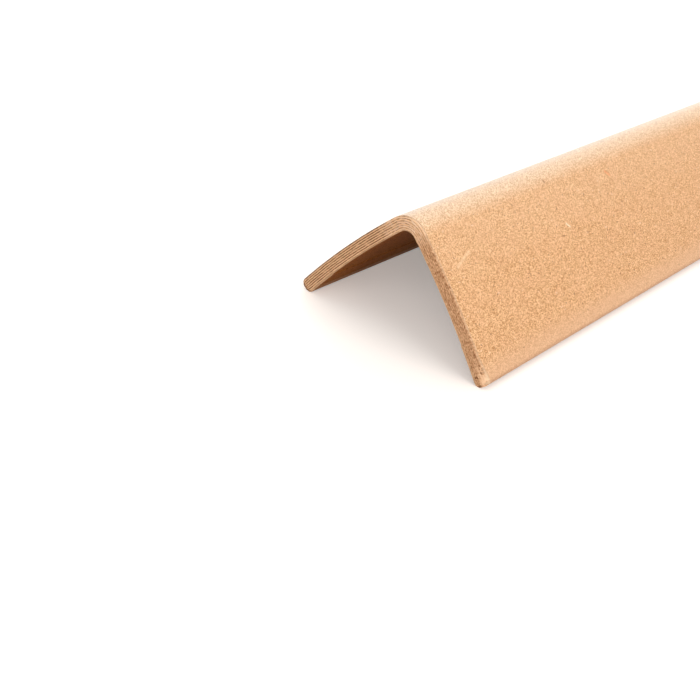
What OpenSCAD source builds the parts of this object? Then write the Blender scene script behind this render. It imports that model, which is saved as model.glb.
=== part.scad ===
// Edge protector: an angle profile of glued paper plies, bent while wet and cut to length.
// It lies with the bend up, resting on its two rolled leg edges. Length along X, +Z up, sizes in mm.

/* [Profile] */
// Leg width, from the sharp outer corner to the leg's edge
leg = 50; // [35:1:100]
// Thickness of the glued wall
wall = 4; // [2.5:0.1:8]
// Angle between the two legs
fold_angle = 83; // [75:1:105]
// Radius on the inside of the bend
bend_r = 3.5; // [2:0.5:12]
// Radius of the rolled leg edges
edge_r = 1.5; // [0.5:0.1:2.5]
// Length the profile is cut to
length = 400; // [100:10:2000]

/* [Laminate] */
// Number of core plies in the wall
core_plies = 6; // [3:1:8]
// Thickness of the paper wrap outside and of the liner inside
wrap = 0.2; // [0.1:0.05:0.4]
// How far the wrap laps from the leg edge onto the inner face
lap = 12; // [5:1:20]
// Width of the open glue lines on the cut ends
glue_gap = 0.12; // [0.05:0.01:0.2]
// Depth of the glue lines on the cut ends
glue_depth = 0.3; // [0.1:0.05:1]

/* [Hidden] */
$fn = 96;
KRAFT = [0.86, 0.65, 0.46];

// Half the fold: each leg leans this far from the upright
lean = fold_angle / 2;
outer_r = bend_r + wall;
// Flat run of a leg, from where the bend ends to the leg's edge
run = leg - outer_r / tan(lean);
// Across the leg, measured from the bend's centre: the lapped inner face, and the rolled edge's radius
lap_face = bend_r - wrap;
roll_r = min(edge_r, (outer_r - lap_face) / 2 - wrap);
roll_start = run - roll_r;
core_roll_r = roll_r - wrap;
ply = (wall - 2 * wrap) / core_plies;
// Share of the bend that each side's segment covers
bend_share = 0.75;
// Height of the bend's centre when both leg edges touch the ground
centre_z = roll_start * cos(lean) - (lap_face + roll_r) * sin(lean) + roll_r;

// Ring segment of the bend in the leg's own frame. It starts where the leg does and runs past the
// middle of the bend, so that the segments of the two sides overlap.
module bend_segment(inner, outer) {
    reach = 2 * outer;
    sweep = bend_share * (180 - fold_angle);
    difference() {
        intersection() {
            circle(outer);
            polygon([[0, 0], [0, reach], reach * [-sin(sweep), cos(sweep)]]);
        }
        circle(inner);
    }
}

// Puts one side's shape on both sides. In a leg's own frame, x runs from the bend to the edge
// and y goes outwards through the wall, both from the bend's centre.
module both_sides() {
    for (side = [0, 1])
        mirror([side, 0])
            rotate(lean - 90)
                children();
}

// Quarter disc, or quarter ring, that turns a leg's edge: side 1 is the outer corner, -1 the inner
module edge_quarter(side, outer, inner = 0) {
    corner_y = side > 0 ? outer_r - roll_r : lap_face + roll_r;
    translate([roll_start, corner_y])
        scale([1, side])
            difference() {
                intersection() {
                    circle(outer);
                    square(2 * outer);
                }
                if (inner > 0)
                    circle(inner);
            }
}

// Section of one leg: flat wall, lapped inner face and rolled edge
module leg_section() {
    polygon([
        [0, bend_r],
        [run - lap, bend_r],
        [run - lap, lap_face],
        [roll_start, lap_face],
        [roll_start, lap_face + roll_r],
        [run, lap_face + roll_r],
        [run, outer_r - roll_r],
        [roll_start, outer_r - roll_r],
        [roll_start, outer_r],
        [0, outer_r]
    ]);
    for (side = [1, -1])
        edge_quarter(side, roll_r);
}

module section() {
    both_sides() {
        bend_segment(bend_r, outer_r);
        leg_section();
    }
}

// How far along a leg the core reaches at a height across the wall: up to the wrap round its edge
function core_reach(y) =
    let (into_roll = max(0, y - (outer_r - roll_r), lap_face + roll_r - y))
    roll_start + sqrt(max(0, pow(core_roll_r, 2) - pow(into_roll, 2)));

// Glue line at one depth below the outer face, from leg edge to leg edge round the bend
module ply_line(depth, reach) {
    inner = outer_r - depth - glue_gap / 2;
    both_sides() {
        bend_segment(inner, inner + glue_gap);
        translate([0, inner])
            square([reach, glue_gap]);
    }
}

// Line under the wrap, which goes on round each leg edge and back to the end of the lap
module wrap_line() {
    ply_line(wrap, roll_start);
    both_sides() {
        for (side = [1, -1])
            edge_quarter(side, core_roll_r + glue_gap / 2, core_roll_r - glue_gap / 2);
        translate([run - wrap - glue_gap / 2, lap_face + roll_r])
            square([glue_gap, outer_r - lap_face - 2 * roll_r]);
        translate([run - lap, lap_face + wrap - glue_gap / 2])
            square([lap - roll_r, glue_gap]);
    }
}

// All the glue lines that show on a cut end
module cut_end_lines() {
    wrap_line();
    for (i = [1 : core_plies]) {
        depth = wrap + i * ply;
        ply_line(depth, core_reach(outer_r - depth));
    }
}

module edge_protector() {
    color(KRAFT)
        translate([-length / 2, 0, centre_z])
            rotate([90, 0, 90])
                difference() {
                    linear_extrude(length)
                        section();
                    for (z = [-glue_depth, length - glue_depth])
                        translate([0, 0, z])
                            linear_extrude(2 * glue_depth)
                                cut_end_lines();
                }
}

edge_protector();
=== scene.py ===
import math

import bpy
from mathutils import Matrix, Vector


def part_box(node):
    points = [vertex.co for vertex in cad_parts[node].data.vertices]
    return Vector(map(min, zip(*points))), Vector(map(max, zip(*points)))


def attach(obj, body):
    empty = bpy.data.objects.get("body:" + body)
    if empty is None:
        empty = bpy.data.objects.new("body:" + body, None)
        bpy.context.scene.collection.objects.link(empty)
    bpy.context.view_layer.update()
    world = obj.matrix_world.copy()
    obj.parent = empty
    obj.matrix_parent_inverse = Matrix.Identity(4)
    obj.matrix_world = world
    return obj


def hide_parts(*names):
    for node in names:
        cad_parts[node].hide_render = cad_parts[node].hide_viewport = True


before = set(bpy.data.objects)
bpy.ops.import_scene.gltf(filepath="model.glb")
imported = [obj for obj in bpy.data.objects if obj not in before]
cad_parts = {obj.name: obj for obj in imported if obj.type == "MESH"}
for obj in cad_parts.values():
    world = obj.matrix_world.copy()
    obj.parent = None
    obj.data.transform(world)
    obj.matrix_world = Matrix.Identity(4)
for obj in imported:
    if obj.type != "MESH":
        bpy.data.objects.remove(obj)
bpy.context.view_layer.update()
scene = bpy.context.scene
scene.view_settings.view_transform = "Standard"

# The board
# One laminate of six core plies between a paper wrap and an inner liner, glued under pressure. It is
# bent while wet, its wrap is rolled round both leg edges and lapped onto the inner faces, its legs
# bow inwards as it dries, and a saw cuts it to length, so that both ends show the plies.

board_low, board_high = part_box("edge_protector")
length = board_high.x - board_low.x
wall = 0.004
bend_r = 0.0035
edge_r = 0.0015
core_plies = 6
wrap = 0.0002
lap = 0.012

# The legs leave the bend a little wider than square and bow, so that their edges lie where flat
# legs would
fold_angle = math.radians(92.52)
bow = math.radians(10)
leg_run = 0.04237
clear_of_floor = 0.000003

# Saw cut: open glue lines, plies that stand at different heights, torn fibres and crushed corners
glue_line_depth = 0.00022
ply_step = 0.00012
fray = 0.00014
fringe = 0.0007
fringe_depth = 0.0002
crushed_edge = 0.0012
crushed_crest = 0.0007
saw_seed = 7.0

# Mesh rows: round the section, round a leg's edge, through a ply, through the wrap, along the length
section_rows = 480
edge_rows = 8
ply_rows = 7
wrap_rows = 3
length_rows = 32
sharp_turn = math.radians(50)


class Term:
    """A value in a node tree, so that a rule can be written as a formula."""

    def __init__(self, socket):
        self.socket = socket
        self.tree = socket.id_data

    def do(self, operation, *others):
        return math_node(self.tree, operation, self, *others)

    def __add__(self, other):
        return self.do("ADD", other)

    def __radd__(self, other):
        return self.do("ADD", other)

    def __sub__(self, other):
        return self.do("SUBTRACT", other)

    def __rsub__(self, other):
        return math_node(self.tree, "SUBTRACT", other, self)

    def __mul__(self, other):
        return self.do("MULTIPLY", other)

    def __rmul__(self, other):
        return self.do("MULTIPLY", other)

    def __truediv__(self, other):
        return self.do("DIVIDE", other)

    def __abs__(self):
        return self.do("ABSOLUTE")

    def at_most(self, other):
        return self.do("MINIMUM", other)

    def at_least(self, other):
        return self.do("MAXIMUM", other)

    def above(self, other):
        return self.do("GREATER_THAN", other)

    def ramp(self, start, end, low=0.0, high=1.0):
        """Smooth step that is low at start and high at end."""
        node = self.tree.nodes.new("ShaderNodeMapRange")
        node.interpolation_type = "SMOOTHSTEP"
        for slot, term in zip(node.inputs, (self, start, end, low, high)):
            feed(slot, term)
        return Term(node.outputs[0])


def feed(slot, value):
    """Links a term to a socket, or sets the socket to a plain value."""
    if isinstance(value, Term):
        slot.id_data.links.new(value.socket, slot)
    else:
        slot.default_value = value


def math_node(tree, operation, *terms):
    node = tree.nodes.new("ShaderNodeMath")
    node.operation = operation
    for slot, term in zip(node.inputs, terms):
        feed(slot, term)
    return Term(node.outputs[0])


def sin(term):
    return term.do("SINE")


def cos(term):
    return term.do("COSINE")


def vector(tree, x, y, z):
    node = tree.nodes.new("ShaderNodeCombineXYZ")
    for slot, term in zip(node.inputs, (x, y, z)):
        feed(slot, term)
    return Term(node.outputs[0])


def parts(term):
    node = term.tree.nodes.new("ShaderNodeSeparateXYZ")
    feed(node.inputs[0], term)
    return [Term(out) for out in node.outputs]


def noise(place, scale, seed, detail=2.0, roughness=0.5):
    """Soft noise between about 0.2 and 0.8, with a feature size of one over the scale, in metres."""
    node = place.tree.nodes.new("ShaderNodeTexNoise")
    node.noise_dimensions = "4D"
    feed(node.inputs["Vector"], place)
    feed(node.inputs["W"], seed)
    feed(node.inputs["Scale"], scale)
    feed(node.inputs["Detail"], detail)
    feed(node.inputs["Roughness"], roughness)
    return Term(node.outputs[0])


def board_tree():
    """A block of rows that is bent to the section, with relief cut into its two ends."""
    tree = bpy.data.node_groups.new("bent laminate", "GeometryNodeTree")
    sizes = (
        "Wall", "Fold angle", "Bend radius", "Bow", "Leg run", "Edge radius", "Length", "Core plies",
        "Wrap", "Lap", "Clear of floor", "Glue line depth", "Ply step", "Fray", "Fringe",
        "Fringe depth", "Crushed edge", "Crushed crest", "Seed",
    )
    for name in sizes:
        tree.interface.new_socket(name, in_out="INPUT", socket_type="NodeSocketFloat")
    for name in ("Wrap paper", "Cut plies"):
        tree.interface.new_socket(name, in_out="INPUT", socket_type="NodeSocketMaterial")
    tree.interface.new_socket("Board", in_out="OUTPUT", socket_type="NodeSocketGeometry")
    given = tree.nodes.new("NodeGroupInput")
    value = {name: Term(given.outputs[name]) for name in sizes}

    through_rows = 2 * wrap_rows + core_plies * ply_rows
    block = tree.nodes.new("GeometryNodeMeshCube")
    block.inputs["Size"].default_value = (1.0, 1.0, 1.0)
    block.inputs["Vertices X"].default_value = section_rows + 1
    block.inputs["Vertices Y"].default_value = through_rows + 1
    block.inputs["Vertices Z"].default_value = length_rows + 1

    # Where a point of the flat block lies: round the section, through the wall, along the length
    across, outwards, along = parts(Term(tree.nodes.new("GeometryNodeInputPosition").outputs[0]))
    side = across.do("SIGN")
    from_crest = abs(across) * 2.0
    row = (0.5 - outwards) * float(through_rows)
    block_end = 0.4999
    at_end = abs(along).above(block_end)

    # Sizes that follow from the inputs
    half_sweep = math.pi / 2 - value["Fold angle"] / 2.0
    outer_r = value["Bend radius"] + value["Wall"]
    bow_r = value["Leg run"] / value["Bow"]
    half_bend = (value["Bend radius"] + value["Wall"] / 2.0) * half_sweep
    ply = (value["Wall"] - 2.0 * value["Wrap"]) / value["Core plies"]
    roll = value["Edge radius"]

    # Round the section: bend and leg first, then the rolled edge by its own angle
    flat_share = 1.0 - 2.0 * edge_rows / section_rows
    turn = ((from_crest - flat_share) / (1.0 - flat_share)).at_least(0.0) * (math.pi / 2)
    to_roll = half_bend + value["Leg run"] - roll
    way = (from_crest / flat_share).at_most(1.0) * to_roll + roll * sin(turn)
    to_edge = to_roll + roll - way
    corner = roll * (1.0 - cos(turn))
    bent = (way / half_bend).at_most(1.0) * half_sweep
    out_leg = (way - half_bend).at_least(0.0)
    angle = bent + value["Bow"] * out_leg / value["Leg run"]

    # Through the wall: wrap, core plies, liner, and the lap of the wrap near the leg's edge
    ply_count = ((row - float(wrap_rows)) / float(ply_rows)).at_least(0.0).at_most(value["Core plies"])
    lap_start = value["Leg run"] - value["Lap"]
    lapped = value["Wrap"] * out_leg.ramp(lap_start - value["Wrap"], lap_start)
    outer_wrap = (row / float(wrap_rows)).at_most(1.0) * value["Wrap"]
    inner_share = ((row - float(through_rows - wrap_rows)) / float(wrap_rows)).at_least(0.0)
    inner_wrap = inner_share * (value["Wrap"] + lapped)
    thick = value["Wall"] + lapped
    depth = corner + (outer_wrap + ply_count * ply + inner_wrap) * (thick - 2.0 * corner) / thick

    # The outer face turns round the bend, then along the bowed leg, and the depth goes inwards from
    # it. The bend's centre is as high as lets both rolled edges stand on the floor.
    face_y = outer_r * sin(bent) + bow_r * (sin(angle) - sin(bent))
    face_z = outer_r * cos(bent) + bow_r * (cos(angle) - cos(bent))
    last_angle = half_sweep + value["Bow"]
    last_z = outer_r * cos(half_sweep) + bow_r * (cos(last_angle) - cos(half_sweep))
    edge_thick = value["Wall"] + value["Wrap"]
    roll_z = last_z + roll * sin(last_angle) - (edge_thick - roll) * cos(last_angle)
    centre_z = roll - roll_z + value["Clear of floor"]
    y = side * (face_y - depth * sin(angle))
    z = face_z - depth * cos(angle) + centre_z

    # Each end has noise of its own. The saw leaves the board on the right leg and tears it there, most
    # at that leg's edge.
    ends_apart = 3.0
    tear_start, tear_full = 0.001, -0.010
    signed_way = side * way
    seed = value["Seed"] + along.do("SIGN") * ends_apart
    torn = signed_way.ramp(tear_start, tear_full)
    torn_edge = torn * to_edge.ramp(0.009, 0.001)
    crest = way.ramp(0.007, 0.001)

    # Glue lines wander and open unevenly and fade where the cut is torn. Noise is read a step apart
    # for each line and for each ply, so that no two are alike.
    line_apart, ply_apart = 0.05, 0.07
    line_place = vector(tree, signed_way, ply_count.do("ROUND") * line_apart, 0.0)
    wander = noise(line_place, 300.0, seed, detail=3.0, roughness=0.65) - 0.5
    lines_at = ply_count + wander * 0.7
    in_ply = lines_at.do("FRACT")
    off_line = in_ply.at_most(1.0 - in_ply)
    middle = off_line.ramp(0.26, 0.44) * (1.0 - 0.8 * torn)
    opened = noise(line_place, 320.0, seed + 0.5, detail=3.0, roughness=0.7)
    line = off_line.ramp(0.08, 0.3, low=1.0, high=0.0)
    line = line * opened.ramp(0.36, 0.55, low=0.4, high=1.0) * (1.0 - 0.75 * torn)
    wrap_line = abs(to_edge - value["Wrap"] * 1.5).ramp(0.00008, 0.0002, low=0.8, high=0.0)
    line = line.at_least(wrap_line)

    # Relief of the cut: glue lines, steps from ply to ply, fuzz, the wrap's fringe, crushed corners
    ply_place = vector(tree, signed_way, lines_at.do("FLOOR") * ply_apart, 0.0)
    step = noise(ply_place, 60.0, seed + 1.0) * value["Ply step"]
    fibre_place = vector(tree, signed_way, depth, 0.0)
    fibre = noise(fibre_place, 2400.0, seed + 1.5, detail=3.0, roughness=0.7)
    fuzz = fibre * value["Fray"] * (1.0 + torn)
    ragged_place = vector(tree, signed_way, 0.0, 0.0)
    ragged = noise(ragged_place, 900.0, seed + 2.0, detail=3.0, roughness=0.65)
    fringe_reach = value["Fringe"] * ragged.ramp(0.35, 0.65, low=0.1)
    fringe_reach = fringe_reach * (0.4 + torn * 0.6 + torn_edge * 2.0 + crest * 0.8)
    fringed = depth.ramp(fringe_reach, fringe_reach * 0.4)
    crushed = torn_edge * depth.ramp(0.0024, 0.0) * value["Crushed edge"]
    crushed = crushed + crest * depth.ramp(0.0014, 0.0) * ragged * value["Crushed crest"]
    relief = line * value["Glue line depth"] + step + fuzz
    relief = relief + fringed * torn * value["Fringe depth"] + crushed
    x = along * value["Length"] - along.do("SIGN") * relief * at_end

    def keep(shape, name, term, domain="POINT"):
        node = tree.nodes.new("GeometryNodeStoreNamedAttribute")
        node.domain = domain
        tree.links.new(shape, node.inputs["Geometry"])
        node.inputs["Name"].default_value = name
        feed(node.inputs["Value"], term)
        return node.outputs["Geometry"]

    normal = Term(tree.nodes.new("GeometryNodeInputNormal").outputs[0])
    faces_along = abs(parts(normal)[2]).above(0.9)
    shape = keep(block.outputs["Mesh"], "cut", faces_along, "FACE")
    shape = keep(shape, "way", signed_way)
    shape = keep(shape, "depth", depth)
    shape = keep(shape, "to edge", to_edge)
    shape = keep(shape, "glue line", line)
    shape = keep(shape, "ply middle", middle)
    shape = keep(shape, "fringe", fringed)
    shape = keep(shape, "torn", torn)
    shape = keep(shape, "torn edge", torn_edge)

    move = tree.nodes.new("GeometryNodeSetPosition")
    tree.links.new(shape, move.inputs["Geometry"])
    feed(move.inputs["Position"], vector(tree, x, y, z))
    whole = tree.nodes.new("GeometryNodeRealizeInstances")
    tree.links.new(move.outputs["Geometry"], whole.inputs["Geometry"])
    paper = tree.nodes.new("GeometryNodeSetMaterial")
    tree.links.new(whole.outputs["Geometry"], paper.inputs["Geometry"])
    tree.links.new(given.outputs["Wrap paper"], paper.inputs["Material"])
    is_cut = tree.nodes.new("GeometryNodeInputNamedAttribute")
    is_cut.data_type = "FLOAT"
    is_cut.inputs["Name"].default_value = "cut"
    plies = tree.nodes.new("GeometryNodeSetMaterial")
    tree.links.new(paper.outputs["Geometry"], plies.inputs["Geometry"])
    tree.links.new(is_cut.outputs["Attribute"], plies.inputs["Selection"])
    tree.links.new(given.outputs["Cut plies"], plies.inputs["Material"])
    result = tree.nodes.new("NodeGroupOutput")
    tree.links.new(plies.outputs["Geometry"], result.inputs["Board"])
    return tree


def blank_material(name):
    material = bpy.data.materials.new(name)
    material.use_nodes = True
    return material, material.node_tree, material.node_tree.nodes["Principled BSDF"]


def attribute(tree, name):
    node = tree.nodes.new("ShaderNodeAttribute")
    node.attribute_name = name
    return Term(node.outputs["Fac"])


def object_place(tree):
    return Term(tree.nodes.new("ShaderNodeTexCoord").outputs["Object"])


def linear(red, green, blue):
    """A colour as a screen shows it, 0 to 255, made linear for a shader."""
    def straight(part):
        part = part / 255
        return part / 12.92 if part <= 0.04045 else ((part + 0.055) / 1.055) ** 2.4
    return (straight(red), straight(green), straight(blue), 1.0)


def blend(share, first, second):
    """Colour that goes from first to second as share goes from 0 to 1."""
    node = share.tree.nodes.new("ShaderNodeMix")
    node.data_type = "RGBA"
    feed(node.inputs[0], share)
    feed(node.inputs[6], first)
    feed(node.inputs[7], second)
    return Term(node.outputs[2])


def bump(shader, height, distance, strength):
    node = height.tree.nodes.new("ShaderNodeBump")
    node.inputs["Strength"].default_value = strength
    node.inputs["Distance"].default_value = distance
    feed(node.inputs["Height"], height)
    feed(shader.inputs["Normal"], Term(node.outputs["Normal"]))


def flecks(place, scale):
    """Small patches of one tone each, from 0 to 1, one over the scale wide."""
    node = place.tree.nodes.new("ShaderNodeTexVoronoi")
    feed(node.inputs["Vector"], place)
    feed(node.inputs["Scale"], scale)
    return parts(Term(node.outputs["Color"]))[0]


def streak(from_cut, way, start, end, half_width):
    """One near the line between two places on a face, each given by its distance from the near cut
    and its way round the section."""
    step_along, step_way = end[0] - start[0], end[1] - start[1]
    from_along, from_way = from_cut - start[0], way - start[1]
    share = (from_along * step_along + from_way * step_way) / (step_along ** 2 + step_way ** 2)
    share = share.at_least(0.0).at_most(1.0)
    off_along, off_way = from_along - share * step_along, from_way - share * step_way
    off = (off_along * off_along + off_way * off_way).do("SQRT")
    return off.ramp(half_width, half_width * 0.3)


def kraft_wrap():
    """Unbleached paper: flecked grain, bark specks and pale fibres, a crest with painted highlight and
    some rubbing, a browner liner partly painted shade.
    """
    material, tree, shader = blank_material("kraft wrap")
    place = object_place(tree)
    x, y, z = parts(place)
    way = attribute(tree, "way")
    to_edge = attribute(tree, "to edge")

    # Grain: sharp flecks of pale and dark pulp, soft clouds, sparse bark specks and pale fibres
    tooth = noise(place, 1900.0, 1.0, detail=1.0, roughness=0.6) - 0.5
    chips = flecks(place, 4800.0) - 0.5
    chip_tone = 0.5 + chips * 2.0
    mottle = noise(place, 620.0, 2.0, detail=1.0) - 0.5
    colour = blend(chip_tone + mottle * 0.1, linear(193, 133, 80), linear(253, 206, 156))
    cloud = noise(place, 220.0, 3.0, detail=1.0).ramp(0.4, 0.65)
    colour = blend(cloud * 0.15, colour, linear(236, 180, 138))
    specks = noise(place, 1400.0, 5.0, detail=0.0).ramp(0.74, 0.80)
    colour = blend(specks * 0.75, colour, linear(140, 84, 48))
    fibres = noise(vector(tree, x * 0.45, y, z), 1500.0, 6.0, detail=1.0).ramp(0.66, 0.76)
    colour = blend(fibres * 0.4, colour, linear(255, 226, 196))

    # Crest: painted highlight from the back and top light, partly real rubbing wear, palest on its
    # left shoulder
    left_shoulder = 0.0035
    # Painted light: the legs grow paler towards the crest, where the light from above falls
    crest_side_light = abs(way).ramp(0.024, 0.006)
    colour = blend(crest_side_light * 0.15, colour, linear(246, 208, 170))
    # Painted highlight along the crest, partly real rubbing wear
    crest_wear_and_highlight = abs(way).ramp(0.0055, 0.001)
    crest_wear_and_highlight_paper = blend(chip_tone, linear(218, 182, 146), linear(254, 232, 204))
    colour = blend(crest_wear_and_highlight * 0.55, colour, crest_wear_and_highlight_paper)
    # Painted highlight on the crest's left shoulder, where the back light grazes it, with a little
    # real wear
    shoulder_highlight_and_wear = abs(way - left_shoulder).ramp(0.004, 0.0)
    shoulder_highlight_paper = blend(chip_tone, linear(238, 228, 212), linear(255, 254, 244))
    colour = blend(shoulder_highlight_and_wear * 0.3, colour, shoulder_highlight_paper)
    # The rolled leg edges are paler and greyer
    edge = to_edge.ramp(0.0090, 0.0012)
    colour = blend(edge * 0.6, colour, linear(232, 186, 148))

    # Single marks on the right leg
    from_cut = x + length / 2
    scratch = streak(from_cut, way, (0.00615, -0.01547), (0.01258, -0.01292), half_width=0.0006)
    colour = blend(scratch * 0.5, colour, linear(255, 218, 174))
    pale_fibre = streak(from_cut, way, (0.05820, -0.01700), (0.05930, -0.01815), half_width=0.0004)
    colour = blend(pale_fibre * 0.75, colour, linear(255, 240, 206))
    knot = streak(from_cut, way, (0.08854, -0.00743), (0.08986, -0.00875), half_width=0.0008)
    colour = blend(knot * 0.5, colour, linear(232, 142, 88))
    bark = streak(from_cut, way, (0.05680, -0.00335), (0.05695, -0.00363), half_width=0.0005)
    colour = blend(bark * 0.55, colour, linear(150, 96, 60))

    # Inner faces: a browner liner that is partly painted warm shade, with a paler strip of wrap along
    # the leg's edge
    inside = attribute(tree, "depth").ramp(0.0015, 0.003)
    lined_and_shaded = inside * to_edge.ramp(0.004, 0.005, low=0.3)
    # Partly painted shade: the liner is darker and more orange than its paper, for the warm shade
    # inside the angle
    liner = blend(0.5 + chips * 1.4 + mottle * 1.2, linear(170, 98, 40), linear(214, 140, 72))
    colour = blend(lined_and_shaded, colour, liner)

    # Paper scuffed pale along both cuts
    to_cut = length / 2 - abs(x)
    scuffed = to_cut.ramp(0.0011, 0.0002) * noise(place, 1500.0, 7.0).ramp(0.4, 0.6)
    colour = blend(scuffed * 0.5, colour, linear(250, 218, 184))

    feed(shader.inputs["Base Color"], colour)
    feed(shader.inputs["Roughness"], 0.62 - tooth * 0.5)
    feed(shader.inputs["Specular IOR Level"], 0.2 - inside * 0.18)
    feed(shader.inputs["Sheen Weight"], 0.6 - inside * 0.6)
    shader.inputs["Sheen Roughness"].default_value = 0.3
    bump(shader, tooth, distance=0.0001, strength=0.25)
    return material


def cut_plies():
    """Sawn ply ends: straw core board with torn fibres, brown glue lines and a pale fringe of wrap."""
    material, tree, shader = blank_material("cut plies")
    way = attribute(tree, "way")
    depth = attribute(tree, "depth")
    to_edge = attribute(tree, "to edge")
    torn = attribute(tree, "torn")
    torn_edge = attribute(tree, "torn edge")
    left_of_crest = 0.002
    at_bend = abs(way - left_of_crest).ramp(0.010, 0.004)

    # Core board: short fibres, longer ones drawn along the plies, soft patches, paler ply middles
    fibre = noise(vector(tree, way * 0.6, depth, 0.0), 2800.0, 3.0, roughness=0.6) - 0.5
    drawn = noise(vector(tree, way * 0.3, depth, 0.0), 2400.0, 9.0, roughness=0.6) - 0.5
    patch = noise(vector(tree, way, depth * 0.3, 0.0), 420.0, 4.0) - 0.5
    tone = 0.81 + fibre * (1.3 + torn * 1.9) + drawn * 1.4 + patch * 0.4
    tone = tone + at_bend * 0.4 - torn * 0.28
    colour = blend(tone, linear(168, 106, 62), linear(255, 207, 160))
    colour = blend(attribute(tree, "ply middle") * 0.6, colour, linear(255, 218, 176))

    # Glue lines, which pale fibres cover in part on the bend
    glue = attribute(tree, "glue line") * (0.95 - at_bend * 0.2)
    colour = blend(glue, colour, linear(120, 65, 36))
    covering = drawn.ramp(-0.04, 0.10) * at_bend
    colour = blend(covering * 0.7, colour, linear(255, 222, 192))

    # Tear: painted shade in the hollows between tufts, flakes of wrap at the torn corner, and the
    # wrap's fringe
    tuft = noise(vector(tree, way, depth, 0.0), 650.0, 8.0, roughness=0.6)
    # Painted shade: dark blotches between tufts stand in for the shade in their hollows
    tuft_shade = tuft.ramp(0.46, 0.36) * (0.1 + torn * 0.15 + torn_edge * 0.7)
    colour = blend(tuft_shade, colour, linear(124, 78, 46))
    flakes = tuft.ramp(0.42, 0.52) * torn_edge * depth.ramp(0.0028, 0.0012)
    colour = blend(flakes * 0.9, colour, linear(250, 206, 166))
    frayed_wrap = attribute(tree, "fringe") * (0.45 + torn_edge * 0.35)
    colour = blend(frayed_wrap, colour, linear(250, 216, 178))

    # Pale liner on the inner side, and a dark, uneven rim of wrap where the cut is clean
    liner = depth.ramp(wall - 2.5 * wrap, wall - wrap)
    colour = blend(liner * 0.5, colour, linear(250, 208, 164))
    rim = depth.ramp(0.00035, 0.0001).at_least(to_edge.ramp(0.0005, 0.00015))
    rim = rim * (1.0 - torn) * (1.0 - at_bend) * tuft.ramp(0.62, 0.42, low=0.35, high=0.95)
    colour = blend(rim, colour, linear(104, 72, 56))

    feed(shader.inputs["Base Color"], colour)
    feed(shader.inputs["Roughness"], 0.88 + fibre * 0.2)
    shader.inputs["Specular IOR Level"].default_value = 0.2
    bump(shader, fibre, distance=0.0001, strength=0.6)
    return material


def made_by_nodes(name, tree, inputs):
    """Runs a node tree on an empty mesh and returns the result as a plain mesh object."""
    source = bpy.data.objects.new(name + " source", bpy.data.meshes.new(name + " source"))
    scene.collection.objects.link(source)
    modifier = source.modifiers.new("nodes", "NODES")
    modifier.node_group = tree
    for item in tree.interface.items_tree:
        if item.in_out == "INPUT":
            modifier[item.identifier] = inputs[item.name]
    evaluated = source.evaluated_get(bpy.context.evaluated_depsgraph_get())
    mesh = bpy.data.meshes.new_from_object(evaluated)
    mesh.name = name
    source.modifiers.remove(modifier)
    bpy.data.objects.remove(source)
    piece = bpy.data.objects.new(name, mesh)
    scene.collection.objects.link(piece)
    return piece


def sharpen(mesh, angle):
    """Smooth faces, sharp where they turn by more than the angle or where the wrap meets a cut."""
    mesh.shade_smooth()
    mesh.set_sharp_from_angle(angle=angle)
    materials_at = {}
    for polygon in mesh.polygons:
        for key in polygon.edge_keys:
            materials_at.setdefault(key, set()).add(polygon.material_index)
    for edge in mesh.edges:
        if len(materials_at[edge.key]) > 1:
            edge.use_edge_sharp = True


board = made_by_nodes(
    "board",
    board_tree(),
    {
        "Wall": wall,
        "Fold angle": fold_angle,
        "Bend radius": bend_r,
        "Bow": bow,
        "Leg run": leg_run,
        "Edge radius": edge_r,
        "Length": length,
        "Core plies": float(core_plies),
        "Wrap": wrap,
        "Lap": lap,
        "Clear of floor": clear_of_floor,
        "Glue line depth": glue_line_depth,
        "Ply step": ply_step,
        "Fray": fray,
        "Fringe": fringe,
        "Fringe depth": fringe_depth,
        "Crushed edge": crushed_edge,
        "Crushed crest": crushed_crest,
        "Seed": saw_seed,
        "Wrap paper": kraft_wrap(),
        "Cut plies": cut_plies(),
    },
)
sharpen(board.data, sharp_turn)
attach(board, "root")
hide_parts("edge_protector")

# The floor
# A plain studio floor that the two leg edges stand on. The camera sees it lifted to white, wholly so
# far from the board, and it keeps the board's soft shadow. It throws a dark, warm light back up.

floor_half = 4.0
floor_seen = (0.92, 0.86, 0.81, 1.0)
floor_bounce = (0.2, 0.1, 0.03, 1.0)
lift_near, lift_far = 0.3, 1.0
near_reach, far_reach = 0.6, 1.6

floor_mesh = bpy.data.meshes.new("floor")
floor_mesh.from_pydata(
    [(-floor_half, -floor_half, 0), (floor_half, -floor_half, 0),
     (floor_half, floor_half, 0), (-floor_half, floor_half, 0)],
    [],
    [(0, 1, 2, 3)],
)
floor = bpy.data.objects.new("floor", floor_mesh)
scene.collection.objects.link(floor)
floor_material, floor_nodes, floor_shader = blank_material("white floor")
floor_shader.inputs["Roughness"].default_value = 0.9
floor_shader.inputs["Specular IOR Level"].default_value = 0.1
floor_shader.inputs["Emission Color"].default_value = (1.0, 0.95, 0.9, 1.0)


def shown_as_white(tree):
    """One for the rays that show the background: from the camera, off gloss and through glass."""
    ray = tree.nodes.new("ShaderNodeLightPath")
    seen = Term(ray.outputs["Is Camera Ray"])
    seen = seen.at_least(Term(ray.outputs["Is Glossy Ray"]))
    return seen.at_least(Term(ray.outputs["Is Transmission Ray"]))


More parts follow.
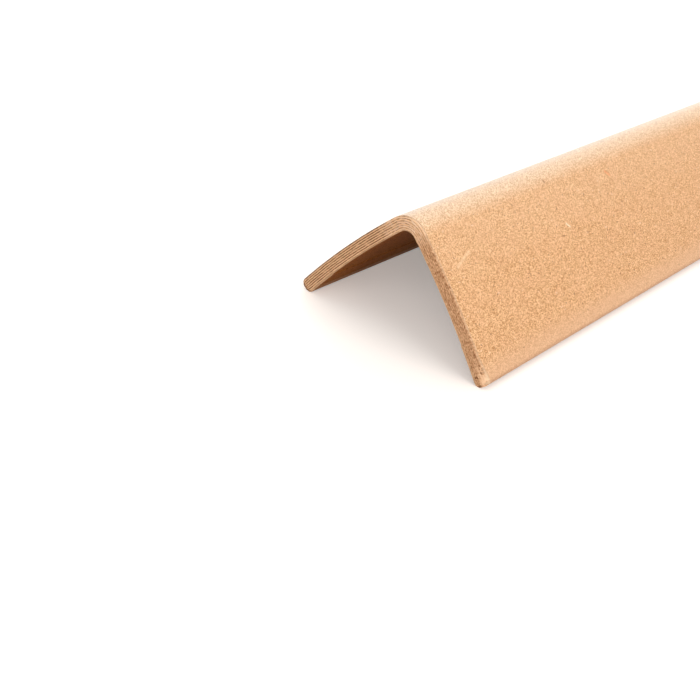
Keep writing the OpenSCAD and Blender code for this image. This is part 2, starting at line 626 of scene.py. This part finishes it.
floor_shown = shown_as_white(floor_nodes)
feed(floor_shader.inputs["Base Color"], blend(floor_shown, floor_bounce, floor_seen))
floor_x, floor_y = parts(object_place(floor_nodes))[:2]
from_board = (floor_x * floor_x + floor_y * floor_y).do("SQRT")
lift = from_board.ramp(near_reach, far_reach, lift_near, lift_far)
feed(floor_shader.inputs["Emission Strength"], floor_shown * lift)
floor_mesh.materials.append(floor_material)

# The light
# A softbox behind the board, one overhead, one at its right side and one before its near end, in a
# pale room that the camera and reflections see as white.


def softbox(name, place, width, power):
    lamp = bpy.data.lights.new(name, "AREA")
    lamp.shape = "SQUARE"
    lamp.size = width
    lamp.energy = power
    box = bpy.data.objects.new(name, lamp)
    box.location = place
    box.rotation_euler = (-Vector(place)).to_track_quat("-Z", "Y").to_euler()
    scene.collection.objects.link(box)


softbox("back light", place=(1.1, 0.8, 0.6), width=1.2, power=11.0)
softbox("overhead light", place=(0.1, 0.1, 1.3), width=1.2, power=3.5)
softbox("side light", place=(-0.2, -1.3, 0.8), width=1.2, power=8.6)
softbox("front light", place=(-1.2, -0.4, 0.5), width=1.0, power=7.0)

room_strength = 0.5
room = bpy.data.worlds.new("pale room")
room.use_nodes = True
scene.world = room
room_light = room.node_tree.nodes["Background"]
room_light.inputs["Color"].default_value = (1.0, 1.0, 1.0, 1.0)
room_shown = shown_as_white(room.node_tree)
feed(room_light.inputs["Strength"], room_strength + room_shown * (1.0 - room_strength))

# The camera
# It looks down on the near end from the right, tipped a little, with the far end out of view.

near_crest = Vector((board_low.x, 0.0, board_high.z))
crest_to_camera = Vector((-0.21690, -0.14830, 0.11898))
view_turn = math.radians(-53.525)
view_tilt = math.radians(58.523)
view_roll = math.radians(9.337)
image_width = 700
focal_pixels = 1124.6
eye = bpy.data.cameras.new("camera")
eye.sensor_width = 36.0
eye.lens = focal_pixels / image_width * eye.sensor_width
eye.clip_start = 0.01
camera = bpy.data.objects.new("camera", eye)
camera.matrix_world = (
    Matrix.Translation(near_crest + crest_to_camera)
    @ Matrix.Rotation(view_turn, 4, "Z")
    @ Matrix.Rotation(view_tilt, 4, "X")
    @ Matrix.Rotation(view_roll, 4, "Z")
)
scene.collection.objects.link(camera)
scene.camera = camera
